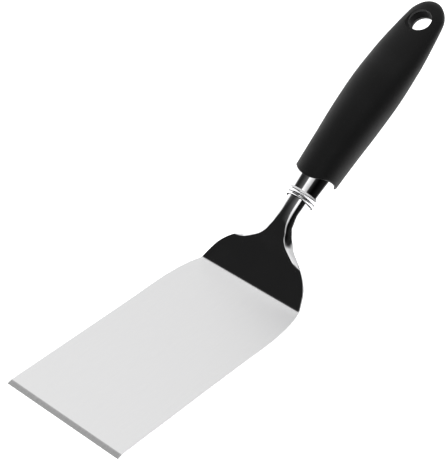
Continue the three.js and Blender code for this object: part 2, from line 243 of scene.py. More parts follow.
roll_width_at = smooth_through([
    (BLADE_LENGTH + 16, 4.2),
    (BLADE_LENGTH + 22, 4.8),
    (BLADE_LENGTH + 28, 4.6),
    (BLADE_LENGTH + 46, 3.6),
])
slant_at = smooth_through([
    (BLADE_LENGTH + 17, 1),
    (BLADE_LENGTH + 24, 1),
    (BLADE_LENGTH + 34, 0),
])
edge_turn_at = smooth_through([
    (BLADE_LENGTH + 20, 0),
    (BLADE_LENGTH + 22.5, 35),
    (BLADE_LENGTH + 26, 75),
    (BLADE_LENGTH + 31, 90),
    (WEB_END + 2, 90),
    (WEB_END + TANG_FLAT_FROM - 2, 60),
    (WEB_END + TANG_FLAT_FROM, 0),
])

print("half width at the edge, the bend and the neck:",
      [round(half_width_at(s), 1) for s in (0, BLADE_LENGTH, WEB_END)])

# %% [markdown]
# ## One section of the sheet
# Each section runs over the top of the sheet and back underneath it, a sheet's thickness
# away. The top is bowed, between two rolled corners. A slanted corner falls almost in a
# straight line, as on the shoulder, and a round one bends over, as on the neck. The two
# edges are eased with a small round, as a tumbled blank has: a dead sharp edge never catches
# the light the way real steel does. The ground bevel lowers the top of the first millimetres.

# %% Section of the sheet
ACROSS_STEPS = 72
FLAT_STEPS = 160
CORNER_STEPS = 240
SLANT_POWER = 1.25
EDGE_EASE = 0.45
BEVEL_EASE = 0.4
EASE_STEPS = (0.0, 0.35, 0.7)


def face_line(half, crown, bow, drop, roll, slant, inset):
    """Points from left to right along a face: a bowed top between two rolled corners."""
    flat = np.linspace(0, half - roll, FLAT_STEPS, endpoint=False)
    turn = np.linspace(0, math.pi / 2, CORNER_STEPS)
    across = np.concatenate([flat, half - roll * (1 - np.sin(turn))])
    corner = slant * np.sin(turn) ** SLANT_POWER + (1 - slant) * (1 - np.cos(turn))
    fall = np.concatenate([np.zeros(len(flat)), drop * corner])
    height = crown - bow * (across / half) ** 2 - fall
    across = np.concatenate([-across[:0:-1], across])
    height = np.concatenate([height[:0:-1], height])
    length = np.concatenate([[0], np.cumsum(np.hypot(np.diff(across), np.diff(height)))])
    at = np.linspace(inset, length[-1] - inset, ACROSS_STEPS + 1)
    return np.stack([np.interp(at, length, across), np.interp(at, length, height)], 1)


def eased_edge(over, corner_over, corner_under, under):
    """A rounded edge: two quadratic bends, round one corner and then the other."""
    middle = (corner_over + corner_under) / 2
    points = []
    for start, corner, stop in ((over, corner_over, middle), (middle, corner_under, under)):
        for t in EASE_STEPS:
            points.append((1 - t) ** 2 * start + 2 * t * (1 - t) * corner + t ** 2 * stop)
    return points


def sheet_section(along, grow=0.0):
    turn = math.radians(edge_turn_at(along))
    sin, cos = math.sin(turn), math.cos(turn)
    bow, drop, roll = bow_at(along), drop_at(along), roll_width_at(along)
    bevel = max(1 - along / BEVEL_LENGTH, 0) * (SHEET - EDGE_LAND)
    inward = SHEET * sin - grow * (cos - sin)
    half, crown = half_width_at(along) + grow, crown_at(along) + grow - bevel
    low_half, low_crown = half_width_at(along) - inward, crown_at(along) - SHEET - grow
    top_drop = drop + grow * (1 - cos + sin)
    low_drop = drop - SHEET * (1 - cos)
    inset = EDGE_EASE if along > BEVEL_LENGTH else BEVEL_EASE * (SHEET - bevel)
    slant = slant_at(along)
    top = face_line(half, crown, bow, top_drop, roll + grow, slant, inset)
    low = face_line(low_half, low_crown, bow, low_drop, roll - inward, slant, inset)
    over = np.array([half, crown - bow - top_drop])
    under = np.array([low_half, low_crown - bow - low_drop])
    mirror = np.array([-1, 1])
    right = eased_edge(top[-1], over, under, low[-1])
    left = eased_edge(low[0], under * mirror, over * mirror, top[0])
    return [*top[1:-1], *right, *low[1:-1][::-1], *left]


def place_on_profile(along, point):
    y, z, pitch = profile_at(along)
    return (point[0] * MM,
            EDGE_Y + (y - point[1] * math.sin(pitch)) * MM,
            (z + point[1] * math.cos(pitch)) * MM)


SECTION_POINTS = len(sheet_section(60.0))
print("a section of the blade has", SECTION_POINTS, "points")

# %% [markdown]
# ## Cutting holes
# The real tang is punched and the real grip is moulded round pins. Here a cutter solid is
# subtracted with a Boolean modifier, and the core's nose is joined on in the same way. The
# result is read back as a plain mesh, so that no modifier and no cutter is left behind.

# %% Boolean helper
def cut_or_join(piece, other, operation="DIFFERENCE"):
    change = piece.modifiers.new("change", "BOOLEAN")
    change.operation = operation
    change.solver = "EXACT"
    change.object = other
    bpy.context.view_layer.update()
    graph = bpy.context.evaluated_depsgraph_get()
    result = bpy.data.meshes.new_from_object(piece.evaluated_get(graph))
    piece.modifiers.clear()
    piece.data = result
    result.shade_smooth()
    result.set_sharp_from_angle(angle=CREASE)
    bpy.data.objects.remove(other)


# %% [markdown]
# ## The handle's own frame
# Everything behind the neck is built along a straight axis, with zero at the ferrule's lip.
# One matrix then tips it up to the handle's pitch and sets it at the end of the neck.

# %% Handle frame and turned pieces
HANDLE_FRAME = (Matrix.Translation((0, EDGE_Y + SEAT_Y * MM, SEAT_Z * MM))
                @ Matrix.Rotation(HANDLE_PITCH, 4, "X")
                @ Matrix.Scale(MM, 4))
TURNED_SEGMENTS = 160


def turned(name, profile):
    """A closed [radius, height] outline turned round the handle's axis."""
    verts = []
    for step in range(TURNED_SEGMENTS):
        angle = 2 * math.pi * step / TURNED_SEGMENTS
        for radius, height in profile:
            point = (radius * math.sin(angle), height, radius * math.cos(angle))
            verts.append(HANDLE_FRAME @ Vector(point))
    return new_piece(name, verts, loft_faces(TURNED_SEGMENTS, len(profile), closed_loop=True))


def arc_points(centre_r, centre_h, radius, start, stop, steps):
    angles = np.radians(np.linspace(start, stop, steps + 1))
    return [(centre_r + radius * math.cos(a), centre_h + radius * math.sin(a)) for a in angles]


def round_bar(name, outline, across_at=None, segments=96):
    """A solid bar from [radius, height] corners, along the handle or across it at a length."""
    verts = []
    for radius, height in outline:
        for step in range(segments):
            angle = 2 * math.pi * step / segments
            side, up = radius * math.sin(angle), radius * math.cos(angle)
            point = (side, height, up) if across_at is None else (side, across_at + up, height)
            verts.append(HANDLE_FRAME @ Vector(point))
    return capped_loft(name, verts, segments)


print("the handle's axis rises at", round(math.degrees(HANDLE_PITCH), 1), "degrees")


# %% [markdown]
# ## The blade, web, neck and tang
# One lofted skin follows the sheet from its ground edge to the end of the hidden tang.
# Sections crowd together at the bevel, round the bend and over the web and neck, where the
# shape changes quickly, and spread out along the flat, where nothing happens.

# %% Loft the sheet
TANG_HOLES = (32, 54)
TANG_HOLE_RADIUS = 2.6
PUNCH_REACH = 30
STEP_ASIDE = 0.06


def sheet_skin(name, stations, grow=0.0):
    verts = [place_on_profile(s, point) for s in stations for point in sheet_section(s, grow)]
    return capped_loft(name, verts, SECTION_POINTS)


stations = np.unique(np.concatenate([
    [0, STEP_ASIDE],
    np.linspace(0.3, BEVEL_LENGTH - STEP_ASIDE, 5),
    [BEVEL_LENGTH + STEP_ASIDE],
    np.linspace(4, FLAT_END, 44),
    np.linspace(FLAT_END, BEND_END, 12),
    np.linspace(BEND_END, WEB_END + TANG_FLAT_FROM, 120),
    np.linspace(WEB_END + TANG_FLAT_FROM, WEB_END + TANG_END, 12),
]))
head = sheet_skin("Blade_web_and_neck", list(stations))
punch_outline = [(TANG_HOLE_RADIUS, -PUNCH_REACH), (TANG_HOLE_RADIUS, PUNCH_REACH)]
for hole_y in TANG_HOLES:
    cut_or_join(head, round_bar("punch", punch_outline, across_at=hole_y))
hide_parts("blade_head")
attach(head, "root")

print("the sheet has", len(head.data.polygons), "faces")

# %% [markdown]
# ## The collar and the ferrule
# The ferrule is a drawn and polished cup with a rolled lip. It hides the joint between the
# steel neck and the plastic. A thin rolled collar sits on the neck in front of it. Both are
# round, so they are turned, like a part on a lathe.

# %% Turn the collar and the ferrule
COLLAR = {"radius": 9.4, "front": -2.9, "back": -1.1}
FERRULE = {"wall": 0.85, "front_radius": 11.0, "back_radius": 12.35, "end": 18.0}
LIP = {"radius": 11.8, "round": 0.75, "inner": 9.5, "front": -1.3, "floor_front": -0.6}
BARREL_START = 1.3
CURL_ROUND = 0.28
WAIST_ROUND = 0.4
WAIST_AT = 1.4

bead_round = (COLLAR["back"] - COLLAR["front"]) / 2
bead_middle = (COLLAR["back"] + COLLAR["front"]) / 2
bead = arc_points(COLLAR["radius"] - bead_round, bead_middle, bead_round, -86, 86, 20)
collar = turned("Neck_collar", [(STEM_HOLE, COLLAR["front"]), *bead, (STEM_HOLE, COLLAR["back"])])
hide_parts("stem_collar")


def barrel_radius(y):
    share = (y - LIP["round"]) / (FERRULE["end"] - LIP["round"])
    return FERRULE["front_radius"] + share * (FERRULE["back_radius"] - FERRULE["front_radius"])


inner_front = barrel_radius(LIP["round"]) - FERRULE["wall"] - 0.4
floor_back = LIP["floor_front"] + FERRULE["wall"]
lip_arc = arc_points(LIP["radius"] - LIP["round"], 0, LIP["round"], -70, 70, 18)
inner_arc = arc_points(LIP["inner"] + 0.25, LIP["front"] + CURL_ROUND, CURL_ROUND, -160, -80, 6)
waist = arc_points(barrel_radius(1.5) + WAIST_ROUND, WAIST_AT, WAIST_ROUND, 230, 182, 5)
ferrule = turned("Ferrule", [
    (STEM_HOLE, LIP["floor_front"]),
    (LIP["inner"] - 0.35, LIP["floor_front"]),
    *inner_arc,
    *lip_arc,
    *waist,
    *[(barrel_radius(y), y) for y in np.linspace(1.8, FERRULE["end"], 8)],
    (FERRULE["back_radius"] - FERRULE["wall"], FERRULE["end"]),
    (inner_front, BARREL_START),
    (inner_front - 0.8, floor_back),
    (STEM_HOLE, floor_back),
])
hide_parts("ferrule")
for ring in (collar, ferrule):
    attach(ring, "root")

print("ferrule bore", round(STEM_HOLE, 2), "mm, lip", LIP["radius"], "mm")

# %% [markdown]
# ## The grip's form
# The handle is a swelling, slightly flattened bar that thins towards a rounded end. Its
# width and thickness are fair curves, and its middle line dips a little. A section is a
# superellipse, a touch squarer than an ellipse, as moulded grips are.

# %% Grip form
GRIP_SIDE_RIM = 14.7
GRIP_TONGUE = 5.4
TONGUE_POWER = 2.5
GRIP_END = 139.4
GRIP_WALL = 2.6
GRIP_BOW = 4.9
BOW_POWER = 1.75
GRIP_SQUARENESS = 2.2
END_ROUND_WIDE = 11.6
END_ROUND_THICK = 5.2
GRIP_SEGMENTS = 144
RIM_SHARES = (0.0, 0.3, 0.65)
BODY_RINGS = 96
END_RINGS = 32
END_TURN = 0.96 * math.pi / 2

grip_half_width_at = smooth_through([
    (7, 12.7), (34, 14.0), (55, 15.3), (76, 16.0), (97, 15.3), (118, 13.1), (GRIP_END, 9.6),
])
grip_half_thickness_at = smooth_through([
    (7, 12.3), (34, 13.3), (55, 13.7), (76, 13.0), (97, 10.7), (118, 7.8), (GRIP_END, 4.8),
])


def grip_middle_at(y):
    share = max(y - GRIP_SIDE_RIM, 0) / (GRIP_END - GRIP_SIDE_RIM)
    return -GRIP_BOW * share ** BOW_POWER


def rounding(y, tip, length):
    into = min(max((y - (tip - length)) / length, 0), 1)
    return math.sqrt(max(1 - into ** 2, 0))


def grip_point(angle, y, inset, tip):
    power = 2 / GRIP_SQUARENESS
    across = math.copysign(abs(math.sin(angle)) ** power, math.sin(angle))
    up = math.copysign(abs(math.cos(angle)) ** power, math.cos(angle))
    wide = (grip_half_width_at(y) - inset) * rounding(y, tip, END_ROUND_WIDE - inset)
    thick = (grip_half_thickness_at(y) - inset) * rounding(y, tip, END_ROUND_THICK - inset / 2)
    return HANDLE_FRAME @ Vector((across * wide, y, grip_middle_at(y) + up * thick))


def tongue_rim(angle):
    return GRIP_SIDE_RIM - GRIP_TONGUE * max(math.cos(angle), 0) ** TONGUE_POWER


def grip_form(name, rim, inset, rim_round=0.0):
    tip = GRIP_END - inset
    body_end = tip - END_ROUND_WIDE
    angles = [2 * math.pi * i / GRIP_SEGMENTS for i in range(GRIP_SEGMENTS)]
    verts = []
    for share in RIM_SHARES if rim_round else ():
        turn = share * math.pi / 2
        back = rim_round * (1 - math.cos(turn))
        drawn_in = inset + rim_round * (1 - math.sin(turn))
        verts += [grip_point(a, rim(a) + back, drawn_in, tip) for a in angles]
    for along in np.linspace(0, 1, BODY_RINGS):
        for a in angles:
            start = rim(a) + rim_round
            length = body_end - rim(a) - rim_round
            verts.append(grip_point(a, start + length * along, inset, tip))
    for turn in np.linspace(0, END_TURN, END_RINGS + 1)[1:]:
        ring_y = body_end + END_ROUND_WIDE * math.sin(turn)
        verts += [grip_point(a, ring_y, inset, tip) for a in angles]
    return capped_loft(name, verts, GRIP_SEGMENTS)


print("grip half widths:", [round(grip_half_width_at(y), 1) for y in (20, 76, 118)])

# %% [markdown]
# ## The hanging hole
# A plain drilled hole would have a sharp rim. A moulded one flows out into the faces, so the
# cutter is a turned bar with a flared round at both ends. It lies across the handle.

# %% Hole cutter
HOLE_RADIUS = 6.8
HOLE_FLARE = 2.0
HOLE_Y = GRIP_END - 15.6
CUTTER_REACH = 8


def hole_cutter(name, grow=0.0):
    face = grip_half_thickness_at(HOLE_Y)
    middle = grip_middle_at(HOLE_Y)
    radius = HOLE_RADIUS + grow
    mouth = arc_points(radius + HOLE_FLARE, face - HOLE_FLARE, HOLE_FLARE, 180, 92, 12)
    upper = [(radius, 0.0), *mouth, (radius + HOLE_FLARE, face + CUTTER_REACH)]
    outline = [(r, -h) for r, h in upper[:0:-1]] + upper
    return round_bar(name, [(r, middle + h) for r, h in outline], across_at=HOLE_Y, segments=144)


print("the hole is", 2 * HOLE_RADIUS, "mm across, centred", HOLE_Y, "mm behind the lip")

# %% [markdown]
# ## The hard core
# Glass-filled plastic is moulded round the tang first, and fills the ferrule. Only the wall
# of the hanging hole shows it. It is the grip's form drawn in by the thickness of the skin,
# with a turned nose, less the room that the tang takes.

# %% Build the core
CORE_GAP = 0.3
CORE_FRONT = FERRULE["end"] + 2 * CORE_GAP
NOSE_TIP = -1.9
SLOT_LEAD = 7
PIN_STANDBACK = 0.1

nose_front = inner_front - CORE_GAP - 0.4
nose_back = grip_half_thickness_at(CORE_FRONT) - GRIP_WALL - 2 * CORE_GAP
core = grip_form("Hard_core", lambda angle: CORE_FRONT, GRIP_WALL + CORE_GAP)
nose = round_bar("nose", [
    (STEM_HOLE - CORE_GAP, NOSE_TIP),
    (STEM_HOLE - CORE_GAP, LIP["round"]),
    (nose_front, LIP["round"] + 1),
    (nose_back, FERRULE["end"]),
    (nose_back, CORE_FRONT + 1),
])
slot_stations = [
    *np.linspace(WEB_END - SLOT_LEAD, WEB_END + TANG_FLAT_FROM, 24),
    WEB_END + TANG_END + CORE_GAP,
]
cut_or_join(core, nose, "UNION")
cut_or_join(core, sheet_skin("slot", slot_stations, CORE_GAP))
cut_or_join(core, hole_cutter("pin", PIN_STANDBACK))
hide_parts("handle_core")
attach(core, "root")

print("the core has", len(core.data.polygons), "faces")

# %% [markdown]
# ## The soft grip
# The skin is the outer form, hollowed by the core's form, by the ferrule's barrel and by the
# hole. Its front rim reaches forward in a tongue on top. The rim's edge is rounded: rubber
# is never moulded to a knife edge.

# %% Build the grip
grip = grip_form("Soft_grip", tongue_rim, 0.0, rim_round=0.22)
barrel = round_bar("barrel", [
    (barrel_radius(0) + CORE_GAP, 0.0),
    (FERRULE["back_radius"] + CORE_GAP, FERRULE["end"] + CORE_GAP),
], segments=160)
cut_or_join(grip, grip_form("core_room", lambda angle: CORE_FRONT - 1, GRIP_WALL))
cut_or_join(grip, barrel)
cut_or_join(grip, hole_cutter("pin"))
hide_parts("soft_grip")
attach(grip, "root")

print("the grip has", len(grip.data.polygons), "faces")

# %% [markdown]
# ## Building materials from nodes
# A finish is a small network: a pattern, a few limits on it, and the Principled shader.
# These helpers add a node, set its sockets and join two nodes, so that each material below
# reads like a recipe.

# %% Node helpers
def add_node(tree, kind, sockets=None, **settings):
    node = tree.nodes.new("ShaderNode" + kind)
    for key, value in settings.items():
        setattr(node, key, value)
    for key, value in (sockets or {}).items():
        node.inputs[key].default_value = value
    return node


def join(tree, source, output, target, socket):
    tree.links.new(source.outputs[output], target.inputs[socket])


def new_group(name, inputs, outputs):
    tree = bpy.data.node_groups.new(name, "ShaderNodeTree")
    for label, kind, value in inputs:
        socket = tree.interface.new_socket(label, in_out="INPUT", socket_type=kind)
        socket.default_value = value
    for label, kind in outputs:
        tree.interface.new_socket(label, in_out="OUTPUT", socket_type=kind)
    return tree, tree.nodes.new("NodeGroupInput"), tree.nodes.new("NodeGroupOutput")


def new_material(name, **sockets):
    material = bpy.data.materials.new(name)
    material.use_nodes = True
    shader = material.node_tree.nodes["Principled BSDF"]
    for label, value in sockets.items():
        shader.inputs[label.replace("_", " ")].default_value = value
    return material, material.node_tree, shader


def dress(piece, material):
    piece.data.materials.clear()
    piece.data.materials.append(material)


def use_group(tree, group, **sockets):
    node = tree.nodes.new("ShaderNodeGroup")
    node.node_tree = group
    for label, value in sockets.items():
        node.inputs[label].default_value = value
    return node


# %% [markdown]
# ## Grain, smudges and worn edges
# Three effects come back in several finishes, so each is a group. Grain is noise, stretched
# along the direction that a belt or brush ran. Smudges are broad cloudy marks where hands
# and cloths have been. Wear finds the outward edges, which lose their finish first.

# %% Shared effect groups
def grain_group():
    tree, given, made = new_group(
        "Stretched_grain",
        [("Fineness", "NodeSocketFloat", 900.0), ("Stretch_X", "NodeSocketFloat", 1.0),
         ("Stretch_Y", "NodeSocketFloat", 1.0), ("Stretch_Z", "NodeSocketFloat", 1.0)],
        [("Streaks", "NodeSocketFloat"), ("Patches", "NodeSocketFloat")],
    )
    place = add_node(tree, "TexCoord")
    stretch = add_node(tree, "CombineXYZ")
    for axis in "XYZ":
        join(tree, given, "Stretch_" + axis, stretch, axis)
    stretched = add_node(tree, "VectorMath", operation="MULTIPLY")
    join(tree, place, "Object", stretched, 0)
    join(tree, stretch, "Vector", stretched, 1)
    streaks = add_node(tree, "TexNoise", {"Detail": 4.0, "Roughness": 0.62})
    join(tree, stretched, "Vector", streaks, "Vector")
    join(tree, given, "Fineness", streaks, "Scale")
    patches = add_node(tree, "TexNoise", {"Scale": 42.0, "Detail": 3.0, "Roughness": 0.5})
    join(tree, place, "Object", patches, "Vector")
    join(tree, streaks, 0, made, "Streaks")
    join(tree, patches, 0, made, "Patches")
    return tree


def smudge_group():
    tree, given, made = new_group(
        "Handling_smudges",
        [("Size", "NodeSocketFloat", 60.0), ("Contrast_low", "NodeSocketFloat", 0.45),
         ("Contrast_high", "NodeSocketFloat", 0.7)],
        [("Smudge", "NodeSocketFloat"), ("Specks", "NodeSocketFloat")],
    )
    place = add_node(tree, "TexCoord")
    cloud = add_node(tree, "TexNoise", {"Detail": 5.0, "Roughness": 0.55, "Distortion": 0.6})
    join(tree, place, "Object", cloud, "Vector")
    join(tree, given, "Size", cloud, "Scale")
    limits = add_node(tree, "MapRange")
    join(tree, cloud, 0, limits, "Value")
    join(tree, given, "Contrast_low", limits, "From Min")
    join(tree, given, "Contrast_high", limits, "From Max")
    dots = add_node(tree, "TexVoronoi", {"Scale": 900.0})
    join(tree, place, "Object", dots, "Vector")
    small = add_node(tree, "MapRange", {"From Min": 0.16, "From Max": 0.06})
    join(tree, dots, "Distance", small, "Value")
    join(tree, limits, "Result", made, "Smudge")
    join(tree, small, "Result", made, "Specks")
    return tree


def wear_group():
    tree, given, made = new_group(
        "Worn_edges",
        [("Start", "NodeSocketFloat", 0.52), ("Full", "NodeSocketFloat", 0.6)],
        [("Worn", "NodeSocketFloat")],
    )
    shape = add_node(tree, "NewGeometry")
    edges = add_node(tree, "MapRange")
    join(tree, shape, "Pointiness", edges, "Value")
    join(tree, given, "Start", edges, "From Min")
    join(tree, given, "Full", edges, "From Max")
    place = add_node(tree, "TexCoord")
    broken = add_node(tree, "TexNoise", {"Scale": 520.0, "Detail": 3.0})
    join(tree, place, "Object", broken, "Vector")
    lost = add_node(tree, "MapRange", {"From Min": 0.35, "From Max": 0.6})
    join(tree, broken, 0, lost, "Value")
    both = add_node(tree, "Math", operation="MULTIPLY", use_clamp=True)
    join(tree, edges, "Result", both, 0)
    join(tree, lost, "Result", both, 1)
    join(tree, both, "Value", made, "Worn")
    return tree


GRAIN, SMUDGES, WEAR = grain_group(), smudge_group(), wear_group()
print("effect groups:", [group.name for group in (GRAIN, SMUDGES, WEAR)])

# %% [markdown]
# ## Steel with two finishes
# The blade keeps the fine satin of the rolled sheet, with its grain along the length. The
# ground bevel has coarse marks across it. From the bend on, the sheet is buffed to a mirror.
# Height above the table tells the finishes apart, and distance from the edge finds the bevel.

# %% Satin and polished steel
steel, tree, shader = new_material("Satin_and_polished_steel", Metallic=1.0)
place = add_node(tree, "TexCoord")
split = add_node(tree, "SeparateXYZ")
join(tree, place, "Object", split, "Vector")
buffed = add_node(tree, "MapRange", {"From Min": 0.00158, "From Max": 0.0021},
                  interpolation_type="SMOOTHSTEP")
join(tree, split, "Z", buffed, "Value")
ground = add_node(tree, "MapRange", {
    "From Min": EDGE_Y + (BEVEL_LENGTH + 0.1) * MM, "From Max": EDGE_Y + (BEVEL_LENGTH - 0.1) * MM})
join(tree, split, "Y", ground, "Value")

belt = use_group(tree, GRAIN, Fineness=2600.0, Stretch_X=1.0, Stretch_Y=0.03, Stretch_Z=1.0)
stone = use_group(tree, GRAIN, Fineness=1500.0, Stretch_X=1.0, Stretch_Y=0.25, Stretch_Z=0.25)
marks = use_group(tree, SMUDGES, Size=38.0, Contrast_low=0.42, Contrast_high=0.75)
wear = use_group(tree, WEAR, Start=0.53, Full=0.62)

satin_colour = add_node(tree, "Mix", {
    "A": (0.88, 0.88, 0.885, 1),
    "B": (0.95, 0.95, 0.95, 1),
}, data_type="RGBA")
join(tree, belt, "Streaks", satin_colour, "Factor")
bevel_colour = add_node(tree, "Mix", {
    "A": (0.6, 0.6, 0.6, 1),
    "B": (0.93, 0.93, 0.93, 1),
}, data_type="RGBA")
join(tree, stone, "Streaks", bevel_colour, "Factor")
flat_colour = add_node(tree, "Mix", data_type="RGBA")
join(tree, ground, "Result", flat_colour, "Factor")
join(tree, satin_colour, "Result", flat_colour, "A")
join(tree, bevel_colour, "Result", flat_colour, "B")
whole_colour = add_node(tree, "Mix", {"B": (0.82, 0.82, 0.83, 1)}, data_type="RGBA")
join(tree, buffed, "Result", whole_colour, "Factor")
join(tree, flat_colour, "Result", whole_colour, "A")
join(tree, whole_colour, "Result", shader, "Base Color")

satin_rough = add_node(tree, "MapRange", {"To Min": 0.34, "To Max": 0.44})
join(tree, belt, "Streaks", satin_rough, "Value")
polish_rough = add_node(tree, "MapRange", {"To Min": 0.07, "To Max": 0.16})
join(tree, marks, "Smudge", polish_rough, "Value")
rough = add_node(tree, "Mix", data_type="FLOAT")
join(tree, buffed, "Result", rough, "Factor")
join(tree, satin_rough, "Result", rough, "A")
join(tree, polish_rough, "Result", rough, "B")
worn_rough = add_node(tree, "Math", {1: 0.12}, operation="MULTIPLY_ADD")
join(tree, wear, "Worn", worn_rough, 0)
join(tree, rough, "Result", worn_rough, 2)
join(tree, worn_rough, "Value", shader, "Roughness")

height = add_node(tree, "Mix", data_type="FLOAT")
join(tree, ground, "Result", height, "Factor")
join(tree, belt, "Streaks", height, "A")
join(tree, stone, "Streaks", height, "B")
less = add_node(tree, "MapRange", {"To Min": 1.0, "To Max": 0.06})
join(tree, buffed, "Result", less, "Value")
relief = add_node(tree, "Math", operation="MULTIPLY")
join(tree, height, "Result", relief, 0)
join(tree, less, "Result", relief, 1)
bump = add_node(tree, "Bump", {"Strength": 0.25, "Distance": 0.00004})
join(tree, relief, "Value", bump, "Height")
join(tree, bump, "Normal", shader, "Normal")
dress(head, steel)

print("steel nodes:", len(tree.nodes))

# %% [markdown]
# ## Chrome
# Chrome plate on polished steel is nearly a perfect mirror. What makes it look real is what
# disturbs it: hairline scratches from wiping, and dull finger marks.

# %% Chrome for the collar and the ferrule
chrome, tree, shader = new_material("Bright_chrome", Metallic=1.0)
hair = use_group(tree, GRAIN, Fineness=1700.0, Stretch_X=1.0, Stretch_Y=0.12, Stretch_Z=1.0)
marks = use_group(tree, SMUDGES, Size=110.0, Contrast_low=0.5, Contrast_high=0.8)
wear = use_group(tree, WEAR, Start=0.54, Full=0.66)
tone = add_node(tree, "Mix", {
    "A": (0.86, 0.86, 0.87, 1),
    "B": (0.74, 0.74, 0.75, 1),
}, data_type="RGBA")
join(tree, marks, "Smudge", tone, "Factor")
join(tree, tone, "Result", shader, "Base Color")
dull = add_node(tree, "MapRange", {"To Min": 0.035, "To Max": 0.12})
join(tree, marks, "Smudge", dull, "Value")
worn = add_node(tree, "Math", {1: 0.15}, operation="MULTIPLY_ADD")
join(tree, wear, "Worn", worn, 0)
join(tree, dull, "Result", worn, 2)
join(tree, worn, "Value", shader, "Roughness")
bump = add_node(tree, "Bump", {"Strength": 0.08, "Distance": 0.00003})
join(tree, hair, "Streaks", bump, "Height")
join(tree, bump, "Normal", shader, "Normal")
for ring in (collar, ferrule):
    dress(ring, chrome)

print("chrome nodes:", len(tree.nodes))

# %% [markdown]
# ## Soft-touch black
# The grip is rubbery and fine-sanded: very dark, matte, with a velvety lift towards its
# outline. Its mould gives it a fine even pebble. Hands polish it in patches, its rims go a
# little grey, and fine dust clings to it.

# %% Soft-touch rubber
rubber, tree, shader = new_material("Soft_touch_black", Metallic=0.0, IOR=1.4, Specular_IOR_Level=0.38)
shader.inputs["Sheen Weight"].default_value = 0.06
shader.inputs["Sheen Roughness"].default_value = 0.5
pebble = use_group(tree, GRAIN, Fineness=2600.0, Stretch_X=1.0, Stretch_Y=1.0, Stretch_Z=1.0)
marks = use_group(tree, SMUDGES, Size=30.0, Contrast_low=0.4, Contrast_high=0.72)
wear = use_group(tree, WEAR, Start=0.53, Full=0.64)
tone = add_node(tree, "Mix", {
    "A": (0.0035, 0.0035, 0.0037, 1),
    "B": (0.006, 0.006, 0.0063, 1),
}, data_type="RGBA")
join(tree, pebble, "Patches", tone, "Factor")
dusty = add_node(tree, "Mix", {"B": (0.09, 0.09, 0.09, 1)}, data_type="RGBA")
dust = add_node(tree, "Math", {1: 0.25}, operation="MULTIPLY")
join(tree, marks, "Specks", dust, 0)
join(tree, dust, "Value", dusty, "Factor")
join(tree, tone, "Result", dusty, "A")
rubbed = add_node(tree, "Mix", {"B": (0.05, 0.05, 0.05, 1)}, data_type="RGBA")
join(tree, wear, "Worn", rubbed, "Factor")
join(tree, dusty, "Result", rubbed, "A")
join(tree, rubbed, "Result", shader, "Base Color")
sheen = add_node(tree, "MapRange", {"To Min": 0.62, "To Max": 0.5})
join(tree, marks, "Smudge", sheen, "Value")
join(tree, sheen, "Result", shader, "Roughness")
bump = add_node(tree, "Bump", {"Strength": 0.5, "Distance": 0.00006})
join(tree, pebble, "Streaks", bump, "Height")
join(tree, bump, "Normal", shader, "Normal")
dress(grip, rubber)

print("rubber nodes:", len(tree.nodes))

# %% [markdown]
# ## Hard black plastic
# The core is a glossy moulding. It shows in the hanging hole only, with flow marks round the
# pin that shaped it and scuffs from the hook it hangs on.

# %% Hard plastic
plastic, tree, shader = new_material("Hard_black_plastic", Metallic=0.0, IOR=1.25, Specular_IOR_Level=0.05)
flow = use_group(tree, GRAIN, Fineness=700.0, Stretch_X=1.0, Stretch_Y=1.0, Stretch_Z=0.2)
marks = use_group(tree, SMUDGES, Size=140.0, Contrast_low=0.45, Contrast_high=0.7)
tone = add_node(tree, "Mix", {
    "A": (0.0015, 0.0015, 0.0016, 1),
    "B": (0.003, 0.003, 0.0032, 1),
}, data_type="RGBA")
join(tree, flow, "Patches", tone, "Factor")
join(tree, tone, "Result", shader, "Base Color")
gloss = add_node(tree, "MapRange", {"To Min": 0.42, "To Max": 0.55})
join(tree, marks, "Smudge", gloss, "Value")
join(tree, gloss, "Result", shader, "Roughness")
bump = add_node(tree, "Bump", {"Strength": 0.15, "Distance": 0.00005})
join(tree, flow, "Streaks", bump, "Height")
join(tree, bump, "Normal", shader, "Normal")
dress(core, plastic)

print("plastic nodes:", len(tree.nodes))

# %% [markdown]
# ## The table and the light
# Polished steel shows the room it stands in, so the room is lit for it. The table is a pale
# light table that glows from below and leaves no shadow. To the camera it is lit all over. In
# reflections its right side is dark, so that the steel has something dark to show there. A
# real table can't do this: it is a trick of the light path.

# %% Light table
floor_mesh = bpy.data.meshes.new("Light_table")
work = bmesh.new()
bmesh.ops.create_grid(work, x_segments=8, y_segments=8, size=2.0)
work.to_mesh(floor_mesh)
work.free()
table = bpy.data.objects.new("Light_table", floor_mesh)
table.location.z = -0.0004
bpy.context.scene.collection.objects.link(table)
acrylic, tree, shader = new_material("Pale_acrylic", Roughness=0.6)
shader.inputs["Emission Strength"].default_value = 1.1
place = add_node(tree, "TexCoord")
split = add_node(tree, "SeparateXYZ")
join(tree, place, "Object", split, "Vector")
unlit = add_node(tree, "MapRange", {"From Min": 0.3, "From Max": 0.5},
                 interpolation_type="SMOOTHSTEP")
join(tree, split, "X", unlit, "Value")
seen = add_node(tree, "LightPath")
mirrored = add_node(tree, "Math", operation="SUBTRACT", use_clamp=True)
join(tree, unlit, "Result", mirrored, 0)
join(tree, seen, "Is Camera Ray", mirrored, 1)
grit = use_group(tree, GRAIN, Fineness=300.0)
pale = add_node(tree, "Mix", {
    "A": (0.84, 0.84, 0.84, 1),
    "B": (0.86, 0.86, 0.86, 1),
}, data_type="RGBA")
join(tree, grit, "Streaks", pale, "Factor")
surface = add_node(tree, "Mix", {"B": (0.05, 0.05, 0.05, 1)}, data_type="RGBA")
glow = add_node(tree, "Mix", {"A": (1, 1, 1, 1), "B": (0.03, 0.03, 0.03, 1)}, data_type="RGBA")
join(tree, pale, "Result", surface, "A")
for shade, socket in ((surface, "Base Color"), (glow, "Emission Color")):
    join(tree, mirrored, "Value", shade, "Factor")
    join(tree, shade, "Result", shader, socket)
